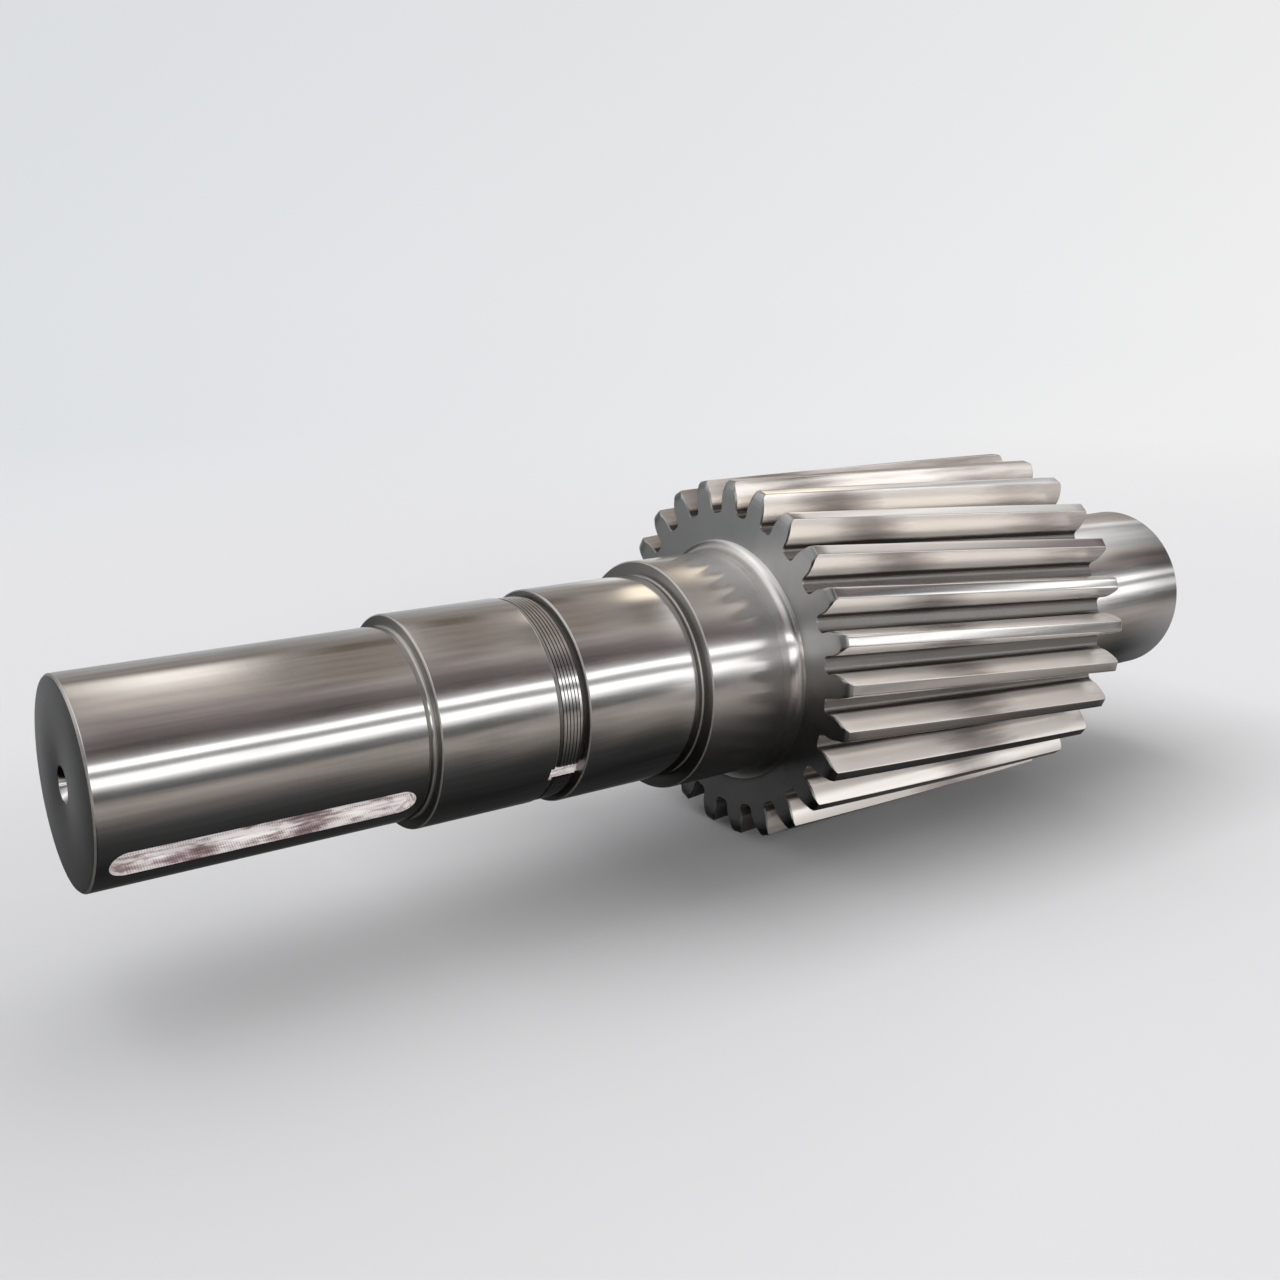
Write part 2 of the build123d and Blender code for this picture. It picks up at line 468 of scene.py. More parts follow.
def steel_palette(slot: Slot) -> list[Material]:
    """Builds the steel finishes in the order of Surface.

    Args:
        slot: Slot whose end mill leaves its marks.

    Returns:
        The materials.
    """
    finishes = (
        GroundSteel("ground_steel", (0.77, 0.76, 0.75), (0.66, 0.645, 0.63), (0.09, 0.13), brushed=0.5),
        # End faces: the faced finish, in a copy of the steel that is darker as painted shade.
        TurnedFace("turned_face", (0.41, 0.41, 0.41), (0.32, 0.32, 0.32), (0.24, 0.34)),
        HobbedFlank(
            "hobbed_flank", (0.98, 0.93, 0.88), (0.56, 0.51, 0.48), (0.20, 0.27), metallic=0.6, grain=0.6
        ),
        EndMilled(
            "milled_slot",
            (0.98, 0.95, 0.94),
            (0.36, 0.27, 0.28),
            (0.30, 0.50),
            metallic=0.45,
            grain=0.8,
            slot=slot,
        ),
        # Roots, grooves, shoulder faces and thread sides: a duller copy of the steel, darker as painted
        # shade.
        SteelFinish("dull_shaded_groove", (0.30, 0.29, 0.28), (0.20, 0.19, 0.18), (0.30, 0.45)),
        GroundSteel(
            "turned_collar", (0.78, 0.76, 0.74), (0.66, 0.64, 0.62), (0.16, 0.21), brushed=0.9, dull=0.28
        ),
        # Chamfers: a darker, rougher copy of the steel.
        SteelFinish("darker_rim", (0.52, 0.50, 0.47), (0.38, 0.36, 0.34), (0.30, 0.45), metallic=0.85),
    )
    return [finish.build() for finish in finishes]


# ---------------------------------------------------------------------------------------
# Forms
# ---------------------------------------------------------------------------------------

SLIGHT_TURN = math.radians(12)  # corners that turn less stay as they are
SMALLEST_ROUND = 0.02  # millimetres under which a corner isn't rounded
EDGE_SHARE = 0.45  # most of a neighbouring edge that a rounding may take
TURNED_CREASE = 33  # smallest angle of a sharp edge on the turned pieces, in degrees
THREAD_CREASE = 24
GEAR_CREASE = 30


def softened(profile: list[Point], radius: float, steps: int = 3) -> list[Point]:
    """Rounds the corners of an open profile a little.

    Args:
        profile: Corners, as axial place and radius.
        radius: Distance from each corner at which the rounding starts.
        steps: Number of short edges that replace a corner.

    Returns:
        The rounded profile.
    """
    rounded: list[Point] = [profile[0]]
    for before, corner, after in zip(profile, profile[1:], profile[2:]):
        here = Vector(corner)
        back, ahead = Vector(before) - here, Vector(after) - here
        reach = min(radius, back.length * EDGE_SHARE, ahead.length * EDGE_SHARE)
        if math.pi - back.angle(ahead) < SLIGHT_TURN or reach < SMALLEST_ROUND:
            rounded.append(corner)
            continue
        start, end = here + back.normalized() * reach, here + ahead.normalized() * reach
        for step in range(steps + 1):
            share = step / steps
            rounded.append(tuple(start.lerp(here, share).lerp(here.lerp(end, share), share)))
    rounded.append(profile[-1])
    return rounded


def chain(form: Form, points: list[Vector]) -> list[Edge]:
    """Adds a chain of edges through points to a mesh, and returns the edges."""
    corners = [form.verts.new(point) for point in points]
    return [form.edges.new(pair) for pair in zip(corners, corners[1:])]


def half_plane(profile: list[Point]) -> list[Vector]:
    """Axial places and radii in millimetres, as points above the axis."""
    return [Vector((x * MM, 0.0, r * MM)) for x, r in profile]


def around_x(angle: float) -> Matrix:
    """Turn about the shaft's axis, in radians, from +Z towards -Y."""
    return Matrix.Rotation(angle, 4, "X")


def spin(form: Form, parts: list[object], angle: float, steps: int, **settings: object) -> None:
    """Spins parts of a mesh about the shaft's axis, by an angle in radians."""
    bmesh.ops.spin(
        form, geom=parts, cent=(0.0, 0.0, 0.0), axis=(1.0, 0.0, 0.0), angle=angle, steps=steps, **settings
    )


def spun(profile: list[Point]) -> Form:
    """Spins a profile about the shaft's axis into a closed form.

    Args:
        profile: Axial place and radius of each corner, in millimetres, from axis to axis.

    Returns:
        The mesh.
    """
    form = bmesh.new()
    edges = chain(form, half_plane(profile))
    spin(form, [*form.verts, *edges], math.tau, SEGMENTS, use_merge=True)
    bmesh.ops.remove_doubles(form, verts=form.verts, dist=SAME_PLACE)
    bmesh.ops.recalc_face_normals(form, faces=form.faces)
    return form


def to_piece(form: Form, name: str) -> Piece:
    """Turns a bmesh into a linked object and frees the bmesh.

    Args:
        form: Mesh to use.
        name: Name of the piece.

    Returns:
        The object.
    """
    mesh = bpy.data.meshes.new(name)
    form.to_mesh(mesh)
    form.free()
    return linked(name, mesh)


def linked(name: str, data: bpy.types.ID) -> Piece:
    """Makes an object of a mesh, lamp or camera, links it to the scene and returns it."""
    piece = bpy.data.objects.new(name, data)
    bpy.context.scene.collection.objects.link(piece)
    return piece


def carve(piece: Piece, cutter: Piece) -> None:
    """Cuts a form out of a piece for good, and removes the cutting form.

    Args:
        piece: Piece that loses material.
        cutter: Form to take away.
    """
    cut = piece.modifiers.new(cutter.name, "BOOLEAN")
    cut.operation = "DIFFERENCE"
    cut.solver = "EXACT"
    cut.object = cutter
    cut.material_mode = "TRANSFER"
    bpy.context.view_layer.update()
    shaped = piece.evaluated_get(bpy.context.evaluated_depsgraph_get())
    old = piece.data
    piece.data = bpy.data.meshes.new_from_object(shaped)
    piece.modifiers.clear()
    bpy.data.meshes.remove(old)
    bpy.data.objects.remove(cutter)


def finish_shading(piece: Piece, crease: float) -> None:
    """Smooths a piece and keeps its real edges sharp.

    Args:
        piece: Piece to shade.
        crease: Smallest angle of a sharp edge, in degrees.
    """
    form = bmesh.new()
    form.from_mesh(piece.data)
    for face in form.faces:
        face.smooth = True
    for edge in form.edges:
        edge.smooth = len(edge.link_faces) == 2 and edge.calc_face_angle(0.0) < math.radians(crease)
    form.to_mesh(piece.data)
    form.free()


def finished(
    piece: Piece,
    palette: list[Material],
    choose: Callable[[Vector, Vector], Surface],
    slot: Slot | None = None,
    crease: float = TURNED_CREASE,
) -> Piece:
    """Gives a piece its finishes, cuts its slot and shades it.

    Args:
        piece: Piece to finish.
        palette: Materials in the order of Surface.
        choose: Finish for a face's middle and normal.
        slot: Slot to cut into it.
        crease: Smallest angle of a sharp edge, in degrees.

    Returns:
        The piece.
    """
    for material in palette:
        piece.data.materials.append(material)
    for face in piece.data.polygons:
        face.material_index = int(choose(face.center, face.normal))
    if slot is not None:
        carve(piece, slot.cutter(palette[Surface.MILLED]))
    finish_shading(piece, crease)
    return piece


def hand_over(piece: Piece) -> None:
    """Hangs a finished piece on the root body, hides the CAD part that it stands for and logs its faces.

    Args:
        piece: Finished steel piece.
    """
    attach(piece, "root")
    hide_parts(NODE)
    LOG.info("%s: %d faces", piece.name, len(piece.data.polygons))


# ---------------------------------------------------------------------------------------
# The shaft
# ---------------------------------------------------------------------------------------


@dataclass(frozen=True)
class Stations:
    """Where the sections end along the axis and how thick they are, in millimetres."""

    drive_end: float = 160.0
    seal_end: float = 227.0
    thread_end: float = 243.0
    bearing_end: float = 316.5
    collar_end: float = 376.5
    gear_end: float = 611.0
    far_collar_end: float = 628.0
    shaft_end: float = 742.5
    drive_radius: float = 50.0
    seal_radius: float = 55.5
    thread_radius: float = 55.0
    bearing_radius: float = 58.0
    collar_radius: float = 65.5
    far_radius: float = 56.0
    relief_width: float = 4.0
    relief_depth: float = 1.2
    relief_slope: float = 0.7  # share of the width left where the relief's slope ends
    relief_corner: Point = (1.3, 0.4)  # reach of the two steps into the relief's corner
    shoulder_chamfer: float = 0.8
    blend: float = 7.0
    hub_reach: float = 10.5
    overlap: float = 1.0  # how far a piece reaches into the next

    def relief(self, end: float, radius: float) -> list[Point]:
        """Profile of the grinding relief before a shoulder.

        Args:
            end: Axial place of the shoulder.
            radius: Radius of the cylinder before it.

        Returns:
            Axial places and radii.
        """
        bottom, (reach, step) = radius - self.relief_depth, self.relief_corner
        return [
            (end - self.relief_width, radius),
            (end - self.relief_width * self.relief_slope, bottom),
            (end - reach, bottom),
            (end - step, bottom + step),
            (end, bottom + reach),
        ]


@dataclass(frozen=True)
class CentreHole:
    """Lathe centre hole: a pilot hole under a cone."""

    pilot_radius: float = 4.0
    mouth_radius: float = 8.5
    depth: float = 18.0
    cone_angle: float = 30.0

    def profile(self, face: float, inward: float) -> list[Point]:
        """Profile from the axis to the mouth.

        Args:
            face: Axial place of the end face.
            inward: +1 where the hole runs towards +X, or -1.

        Returns:
            Axial places and radii.
        """
        cone = (self.mouth_radius - self.pilot_radius) / math.tan(math.radians(self.cone_angle))
        return [
            (face + inward * self.depth, 0.0),
            (face + inward * self.depth, self.pilot_radius),
            (face + inward * cone, self.pilot_radius),
            (face, self.mouth_radius),
        ]


@dataclass(frozen=True)
class Slot:
    """A straight slot sunk into a cylinder, along the axis.

    Args:
        name: Name of its cutting form.
        start: Axial place of its near end.
        length: Overall length.
        width: Width.
        floor: Distance of its floor from the axis.
        top: Distance from the axis of the cutting form's top.
        angle: Turn about the axis, in degrees from +Z towards -Y.
        round_ends: Whether the ends are half round.
    """

    name: str
    start: float
    length: float
    width: float
    floor: float
    top: float
    angle: float
    round_ends: bool

    def cutter(self, material: Material) -> Piece:
        """Builds the form that cuts the slot.

        Args:
            material: Finish that the cut surfaces take.

        Returns:
            The cutting form.
        """
        form = bmesh.new()
        half, floor = self.width / 2 * MM, self.floor * MM
        near, far = self.start * MM, (self.start + self.length) * MM
        if self.round_ends:
            for centre, begin in ((far - half, -half), (near + half, half)):
                corner = form.verts.new((centre, begin, floor))
                upright = {"cent": (centre, 0.0, 0.0), "axis": (0.0, 0.0, 1.0)}
                bmesh.ops.spin(form, geom=[corner], angle=math.pi, steps=32, **upright)
            bmesh.ops.remove_doubles(form, verts=form.verts, dist=SAME_PLACE)
            open_ends = [corner for corner in form.verts if len(corner.link_edges) == 1]
            for side in (-1, 1):
                form.edges.new([corner for corner in open_ends if corner.co.y * side > 0])
            bmesh.ops.contextual_create(form, geom=form.edges)
        else:
            bmesh.ops.create_grid(form, x_segments=1, y_segments=1, size=0.5)
            bmesh.ops.scale(form, vec=(far - near, 2 * half, 1.0), verts=form.verts)
            bmesh.ops.translate(form, vec=((near + far) / 2, 0.0, floor), verts=form.verts)
        grown = bmesh.ops.extrude_face_region(form, geom=form.faces)
        risen = [part for part in grown["geom"] if isinstance(part, Corner)]
        bmesh.ops.translate(form, vec=(0.0, 0.0, (self.top - self.floor) * MM), verts=risen)
        bmesh.ops.transform(form, matrix=around_x(math.radians(self.angle)), verts=form.verts)
        bmesh.ops.recalc_face_normals(form, faces=form.faces)
        cutter = to_piece(form, self.name)
        cutter.data.materials.append(material)
        return cutter


KEYWAY = Slot("keyway", 6.5, 145.0, 16.0, 44.0, 60.0, 123.5, True)
LOCK_SLOT = Slot("lock_slot", 224.0, 21.0, 8.0, 51.5, 62.0, 120.0, False)


@dataclass(frozen=True)
class DriveEnd:
    """Keyed cylinder that carries the coupling hub."""

    at: Stations
    hole: CentreHole
    chamfer: float = 1.1
    rounding: float = 0.35
    keyway: Slot = KEYWAY

    def build(self, palette: list[Material]) -> Piece:
        """Builds and dresses the drive end.

        Args:
            palette: Steel finishes.

        Returns:
            The piece.
        """
        at, radius = self.at, self.at.drive_radius
        relief = at.relief(at.drive_end, radius)
        outer = [(0.0, radius - self.chamfer), (self.chamfer, radius), *relief]
        outer += [(at.drive_end + at.overlap, relief[-1][1]), (at.drive_end + at.overlap, 0.0)]
        profile = softened(self.hole.profile(0.0, 1.0) + outer, self.rounding)
        return finished(to_piece(spun(profile), "drive_end"), palette, self.surface_at, self.keyway)

    def surface_at(self, middle: Vector, normal: Vector) -> Surface:
        """Finish of a face of the spun form."""
        if abs(normal.x) > FLAT:
            return Surface.FACE
        rim = normal.x < -SLANTED and middle.length > self.hole.mouth_radius * 2 * MM
        return Surface.RIM if rim else Surface.GROUND


@dataclass(frozen=True)
class ThreadedBand:
    """Seal seat and the locknut thread beside it, with the lock washer's slot."""

    at: Stations
    seal_chamfer: float = 1.0
    pitch: float = 2.0
    thread_depth: float = 1.0
    crest: float = 0.74  # share of the ridge's foot that its crest spans
    sunk: float = 0.3  # how deep the ridge's foot lies in the core
    clearance: float = 0.2
    runout: float = 0.3
    undercut: float = 1.7
    undercut_depth: float = 0.8
    end_bevel: float = 0.5
    rounding: float = 0.35
    side_tilt: float = 0.3  # share of a normal along the shaft from which a face is the thread's side
    turn_steps: int = 180
    lock_slot: Slot = LOCK_SLOT

    def build(self, palette: list[Material]) -> list[Piece]:
        """Builds and dresses the band.

        Args:
            palette: Steel finishes.

        Returns:
            The band and the thread on it.
        """
        at = self.at
        core, shoulder = at.thread_radius - self.thread_depth, at.seal_end - self.clearance
        profile = [
            (at.drive_end, 0.0),
            (at.drive_end, at.seal_radius - at.shoulder_chamfer),
            (at.drive_end + at.shoulder_chamfer, at.seal_radius),
            (at.seal_end - self.seal_chamfer, at.seal_radius),
            (shoulder, at.seal_radius - self.seal_chamfer),
            (shoulder, core),
            (at.thread_end - self.undercut, core),
            (at.thread_end - self.undercut, core - self.undercut_depth),
            (at.thread_end + at.overlap, core - self.undercut_depth),
            (at.thread_end + at.overlap, 0.0),
        ]
        band = to_piece(spun(softened(profile, self.rounding)), "seal_band")
        return [
            finished(band, palette, self.surface_at, self.lock_slot),
            finished(self.thread(core), palette, self.thread_surface_at, self.lock_slot, THREAD_CREASE),
        ]

    def thread(self, core: float) -> Piece:
        """Builds the ridge of the thread, chamfered at both ends.

        Args:
            core: Radius under the ridge.

        Returns:
            The thread, before its slot is cut.
        """
        first = self.at.seal_end + self.clearance
        last = self.at.thread_end - self.undercut - self.runout
        turns, half = (last - first) / self.pitch, self.pitch / 2
        ridge = [(-half, -self.sunk), (-half * self.crest, self.thread_depth)]
        ridge += [(half * self.crest, self.thread_depth), (half, -self.sunk)]
        form = bmesh.new()
        foot = half_plane([(first + x, core + r) for x, r in ridge])
        section = form.faces.new([form.verts.new(point) for point in foot])
        spin(
            form,
            [section, *section.edges, *section.verts],
            math.tau * turns,
            round(self.turn_steps * turns),
            dvec=(self.pitch * MM / self.turn_steps, 0.0, 0.0),
        )
        for corner in form.verts:
            radius = math.hypot(corner.co.y, corner.co.z)
            room = min(corner.co.x / MM - first + self.end_bevel, last - corner.co.x / MM + self.end_bevel)
            limit = (core - self.sunk + max(0.0, room)) * MM
            if radius > limit:
                corner.co.y *= limit / radius
                corner.co.z *= limit / radius
        bmesh.ops.recalc_face_normals(form, faces=form.faces)
        return to_piece(form, "locknut_thread")

    def surface_at(self, middle: Vector, normal: Vector) -> Surface:
        """Finish of a face of the spun form."""
        if middle.x > (self.at.seal_end - 2 * self.clearance) * MM or abs(normal.x) > FLAT:
            return Surface.GROOVE
        return Surface.RIM if abs(normal.x) > SLANTED else Surface.GROUND

    def thread_surface_at(self, middle: Vector, normal: Vector) -> Surface:
        """Finish of a face of the thread: its crest is bright, its sides are dull and darker as painted
        shade.
        """
        return Surface.GROOVE if abs(normal.x) > self.side_tilt else Surface.GROUND


@dataclass(frozen=True)
class BearingAndCollar:
    """Bearing seat and the collar that blends into the gear's near face."""

    at: Stations
    rounding: float = 0.25

    def build(self, palette: list[Material]) -> Piece:
        """Builds and dresses the seat and collar.

        Args:
            palette: Steel finishes.

        Returns:
            The piece.
        """
        at = self.at
        profile = [
            (at.thread_end, 0.0),
            (at.thread_end, at.bearing_radius - at.shoulder_chamfer),
            (at.thread_end + at.shoulder_chamfer, at.bearing_radius),
            *at.relief(at.bearing_end, at.bearing_radius),
            (at.bearing_end, at.collar_radius - at.shoulder_chamfer),
            (at.bearing_end + at.shoulder_chamfer, at.collar_radius),
            (at.collar_end - at.hub_reach, at.collar_radius),
            (at.collar_end - at.hub_reach, 0.0),
        ]
        piece = to_piece(spun(softened(profile, self.rounding)), "bearing_seat")
        return finished(piece, palette, self.surface_at)

    def surface_at(self, middle: Vector, normal: Vector) -> Surface:
        """Finish of a face of the spun form."""
        at = self.at
        if abs(normal.x) > FLAT:
            return Surface.GROOVE
        if normal.x < -SLANTED:
            return Surface.RIM
        low = math.hypot(middle.y, middle.z) < at.bearing_radius * MM
        if low and middle.x > (at.bearing_end - at.relief_width) * MM:
            return Surface.GROOVE
        return Surface.TURNED if middle.x > at.bearing_end * MM else Surface.GROUND


@dataclass(frozen=True)
class FarJournal:
    """Collar behind the gear and the far bearing seat."""

    at: Stations
    hole: CentreHole
    chamfer: float = 1.8
    spigot: Point = (4.0, 1.0)  # how far the journal reaches into the hub, and the gap around it
    rounding: float = 0.25

    def build(self, palette: list[Material]) -> Piece:
        """Builds and dresses the far journal.

        Args:
            palette: Steel finishes.

        Returns:
            The piece.
        """
        at, (reach, gap) = self.at, self.spigot
        hub_end, bottom = at.gear_end + at.hub_reach, at.far_radius - at.relief_depth
        profile = [
            (hub_end - reach, 0.0),
            (hub_end - reach, at.collar_radius - gap),
            (hub_end, at.collar_radius - gap),
            (hub_end, at.collar_radius),
            (at.far_collar_end - at.shoulder_chamfer, at.collar_radius),
            (at.far_collar_end, at.collar_radius - at.shoulder_chamfer),
            (at.far_collar_end, bottom),
            (at.far_collar_end + at.relief_width * at.relief_slope, bottom),
            (at.far_collar_end + at.relief_width, at.far_radius),
            (at.shaft_end - self.chamfer, at.far_radius),
            (at.shaft_end, at.far_radius - self.chamfer),
            *reversed(self.hole.profile(at.shaft_end, -1.0)),
        ]
        piece = to_piece(spun(softened(profile, self.rounding)), "far_journal")
        return finished(piece, palette, self.surface_at)

    def surface_at(self, middle: Vector, normal: Vector) -> Surface:
        """Finish of a face of the spun form."""
        if abs(normal.x) > FLAT:
            return Surface.FACE
        return Surface.TURNED if middle.x < self.at.far_collar_end * MM else Surface.GROUND


@dataclass(frozen=True)
class ToothForm:
    """Involute tooth in the section across the axis.

    Args:
        teeth: Number of teeth.
        module: Normal module, in millimetres.
        pressure_angle: Normal pressure angle, in degrees.
        helix_angle: Helix angle, in degrees, right hand.
        shift: Profile shift, in modules.
        addendum: Addendum, in modules.
        dedendum: Dedendum, in modules.
        fillet: Radius of the root fillets, in millimetres.
        first_gap: Turn of the first gap at the near face, in degrees from straight down.
        least_land: Share of the tip's half width that the broken edge leaves at least.
        steps: Number of short edges along a root fillet, a flank and a broken edge.
    """

    teeth: int = 25
    module: float = 8.0
    pressure_angle: float = 20.0
    helix_angle: float = 5.25
    shift: float = -0.2
    addendum: float = 1.0
    dedendum: float = 1.4
    fillet: float = 3.2
    first_gap: float = 0.6
    least_land: float = 0.25
    steps: tuple[int, int, int] = (5, 9, 4)

    @property
    def pitch_radius(self) -> float:
        """Radius of the pitch circle."""
        return self.module * self.teeth / math.cos(math.radians(self.helix_angle)) / 2

    @property
    def tip_radius(self) -> float:
        """Radius of the tip circle."""
        return self.pitch_radius + (self.addendum + self.shift) * self.module

    @property
    def root_radius(self) -> float:
        """Radius of the root circle."""
        return self.pitch_radius - (self.dedendum - self.shift) * self.module

    @property
    def pressure(self) -> float:
        """Pressure angle across the axis, in radians."""
        helix = math.radians(self.helix_angle)
        return math.atan(math.tan(math.radians(self.pressure_angle)) / math.cos(helix))

    @property
    def base_radius(self) -> float:
        """Radius of the base circle."""
        return self.pitch_radius * math.cos(self.pressure)

    def half_gap(self, radius: float) -> float:
        """Half the angle of a tooth gap at a radius, in radians."""
        shift = 2 * self.shift * math.tan(math.radians(self.pressure_angle))
        local = math.acos(min(1.0, self.base_radius / radius))
        pitch_involute = math.tan(self.pressure) - self.pressure
        return (math.pi / 2 - shift) / self.teeth + (math.tan(local) - local) - pitch_involute

    def turn(self, along: float) -> float:
        """Turn of the teeth at a distance from the near face, in radians."""
        return along * math.tan(math.radians(self.helix_angle)) / self.pitch_radius

    def half_tooth(self, top: float, edge: float) -> list[Point]:
        """Outline from the middle of a gap to the middle of the next tooth.

        Args:
            top: Radius at which the tooth ends.
            edge: Size of the broken edge between flank and top land.

        Returns:
            Angles and radii, with the tooth's middle at angle 0.
        """
        fillet_steps, flank_steps, edge_steps = self.steps
        gap = -math.pi / self.teeth
        wall = gap + self.half_gap(self.base_radius)
        centre_radius = self.root_radius + self.fillet
        centre_angle = wall - math.asin(self.fillet / centre_radius)
        outline = [(gap, self.root_radius), ((gap + centre_angle) / 2, self.root_radius)]
        sweep = math.acos(self.fillet / centre_radius)
        for step in range(fillet_steps + 1):
            turn = sweep * step / fillet_steps
            along, aside = centre_radius - self.fillet * math.cos(turn), self.fillet * math.sin(turn)
            outline.append((centre_angle + math.atan2(aside, along), math.hypot(along, aside)))
        for step in range(flank_steps + 1):
            radius = self.base_radius + (top - edge - self.base_radius) * step / flank_steps
            outline.append((gap + self.half_gap(radius), radius))
        flank, tip = gap + self.half_gap(top - edge), gap + self.half_gap(top)
        land = min(tip + edge / top, tip * self.least_land)
        for step in range(1, edge_steps + 1):
            share = step / edge_steps
            weights = ((1 - share) ** 2, 2 * share * (1 - share), share**2)
            angle = weights[0] * flank + weights[1] * tip + weights[2] * land
            outline.append((angle, top - weights[0] * edge))
        return outline + [(land / 2, top), (0.0, top)]


@dataclass(frozen=True)
class HelicalGear:
    """Rim of teeth, with rounded tip ends and broken edges.

    Args:
        at: Stations of the shaft.
        tooth: Form of the teeth.
        edge: Broken edge along the tips.
        end_edge: Broken edge of the tips at both faces.
        face_break: How far the outline is drawn in at both faces.
        break_length: Length over which it is drawn in.
        root_share: Share of it that the roots are drawn in.
        bore_radius: Radius of the tube inside the hub.
        blend_steps: Number of short edges in the blend between hub and face.
        stations: Number of sections between both faces.
        face_rim: Flat rim around the blend, in the face.
        blend_rim: Outer part of the blend that is finished like the face.
        face_tilt: Share of a normal along the shaft from which a face belongs to the gear's ends.
        painted_root_shade: Height above the root circle up to which the roots take the darker groove steel,
            as painted shade.
        land_depth: Depth under the tip circle down to which the lands are ground.
        tip_ends: Distances from a face, and how far the tips lie below the tip circle there.
    """

    at: Stations
    tooth: ToothForm
    edge: float = 0.45
    end_edge: float = 2.2
    face_break: float = 0.8
    break_length: float = 1.0
    root_share: float = 0.25
    bore_radius: float = 60.0
    blend_steps: int = 14
    stations: int = 26
    face_rim: float = 2.0
    blend_rim: float = 1.0
    face_tilt: float = 0.2
    painted_root_shade: float = 1.2
    land_depth: float = 0.15
    tip_ends: tuple[Point, ...] = (
        (0.0, 4.2), (0.12, 3.7), (0.5, 2.8), (1.0, 1.75), (1.5, 0.8), (1.9, 0.3), (2.4, 0.05), (2.9, 0.0)
    )

    def build(self, palette: list[Material]) -> Piece:
        """Builds and dresses the gear.

        Args:
            palette: Steel finishes.

        Returns:
            The piece.
        """
        form = bmesh.new()
        near, far = self.at.collar_end, self.at.gear_end
        plan = [(near + along, drop) for along, drop in self.tip_ends]
        first, last = plan[-1][0], far - self.tip_ends[-1][0]
        plan += [(first + (last - first) * i / self.stations, 0.0) for i in range(1, self.stations)]
        plan += [(far - along, drop) for along, drop in reversed(self.tip_ends)]
        loops = []
        for place, drop in plan:
            depth = max(0.0, 1 - min(place - near, far - place) / self.break_length)
            loops.append(self.section(form, place, drop, depth))
        for one, other in zip(loops, loops[1:]):
            bmesh.ops.bridge_loops(form, edges=one + other)
        for loop, ring in zip((loops[0], loops[-1]), self.hub(form)):
            bmesh.ops.triangle_fill(form, use_beauty=True, use_dissolve=False, edges=loop + ring)
        bmesh.ops.recalc_face_normals(form, faces=form.faces)
        return finished(to_piece(form, "helical_gear"), palette, self.surface_at, crease=GEAR_CREASE)

    def blend_arc(self, face: float, side: float) -> list[Point]:
        """Quarter round from the hub up into a flat face.

        Args:
            face: Axial place of the face.
            side: -1 where the hub lies before the face, +1 where it lies behind.

        Returns:
            Axial places and radii, from the hub to the face.
        """
        radius, blend, arc = self.at.collar_radius, self.at.blend, []
        for step in range(self.blend_steps + 1):
            turn = math.pi / 2 * step / self.blend_steps
            arc.append((face + side * blend * (1 - math.sin(turn)), radius + blend * (1 - math.cos(turn))))
        return arc + [(face, radius + blend + self.face_rim)]

    def hub(self, form: Form) -> list[list[Edge]]:
        """Adds the hub: a blend into each face, and the tube that joins them.

        Args:
            form: Mesh that receives it.

        Returns:
            The edges of the hub's rim in the near and in the far face.
        """
        at, bore = self.at, self.bore_radius
        near, far = at.collar_end - at.hub_reach, at.gear_end + at.hub_reach
        tube = [(near, at.collar_radius), (near, bore), (far, bore), (far, at.collar_radius)]
        profile = [*reversed(self.blend_arc(at.collar_end, -1.0)), *tube, *self.blend_arc(at.gear_end, 1.0)]
        before = set(form.verts)
        edges = chain(form, half_plane(profile))
        own = [corner for corner in form.verts if corner not in before]
        spin(form, [*own, *edges], math.tau, SEGMENTS, use_merge=True)
        rims = []
        for place in (at.collar_end, at.gear_end):
            ring = set(corners_at(form, place)) - before
            single = [edge for edge in form.edges if len(edge.link_faces) == 1]
            rims.append([edge for edge in single if ring.issuperset(edge.verts)])
        return rims

    def section(self, form: Form, place: float, drop: float, depth: float) -> list[Edge]:
        """Adds the closed outline of all teeth at one place.

        Args:
            form: Mesh that receives it.
            place: Axial place.
            drop: How far the tips lie below the tip circle.
            depth: How much of the broken edge is taken off here, from 0 to 1.

        Returns:
            The edges of the outline.
        """
        edge = self.edge + (self.end_edge - self.edge) * depth
        half = self.tooth.half_tooth(self.tooth.tip_radius - drop, edge)
        polar = half + [(-angle, radius) for angle, radius in reversed(half[:-1])]
        flat = [Vector((radius * math.sin(angle), radius * math.cos(angle))) for angle, radius in polar]
        if depth > 0:
            flat = self.drawn_in(flat, self.face_break * depth)
        edges = chain(form, [Vector((place * MM, -p.x * MM, p.y * MM)) for p in flat])
        corners = list({corner for edge in edges for corner in edge.verts})
        pitch, others = math.tau / self.tooth.teeth, self.tooth.teeth - 1
        spin(form, corners + edges, pitch * others, others, use_duplicate=True)
        bmesh.ops.remove_doubles(form, verts=corners_at(form, place), dist=SAME_TOOTH_END)
        outline = corners_at(form, place)
        middle = math.pi + math.radians(self.tooth.first_gap) + pitch / 2
        turned = around_x(middle + self.tooth.turn(place - self.at.collar_end))
        bmesh.ops.transform(form, matrix=turned, verts=outline)
        return list({edge for corner in outline for edge in corner.link_edges})

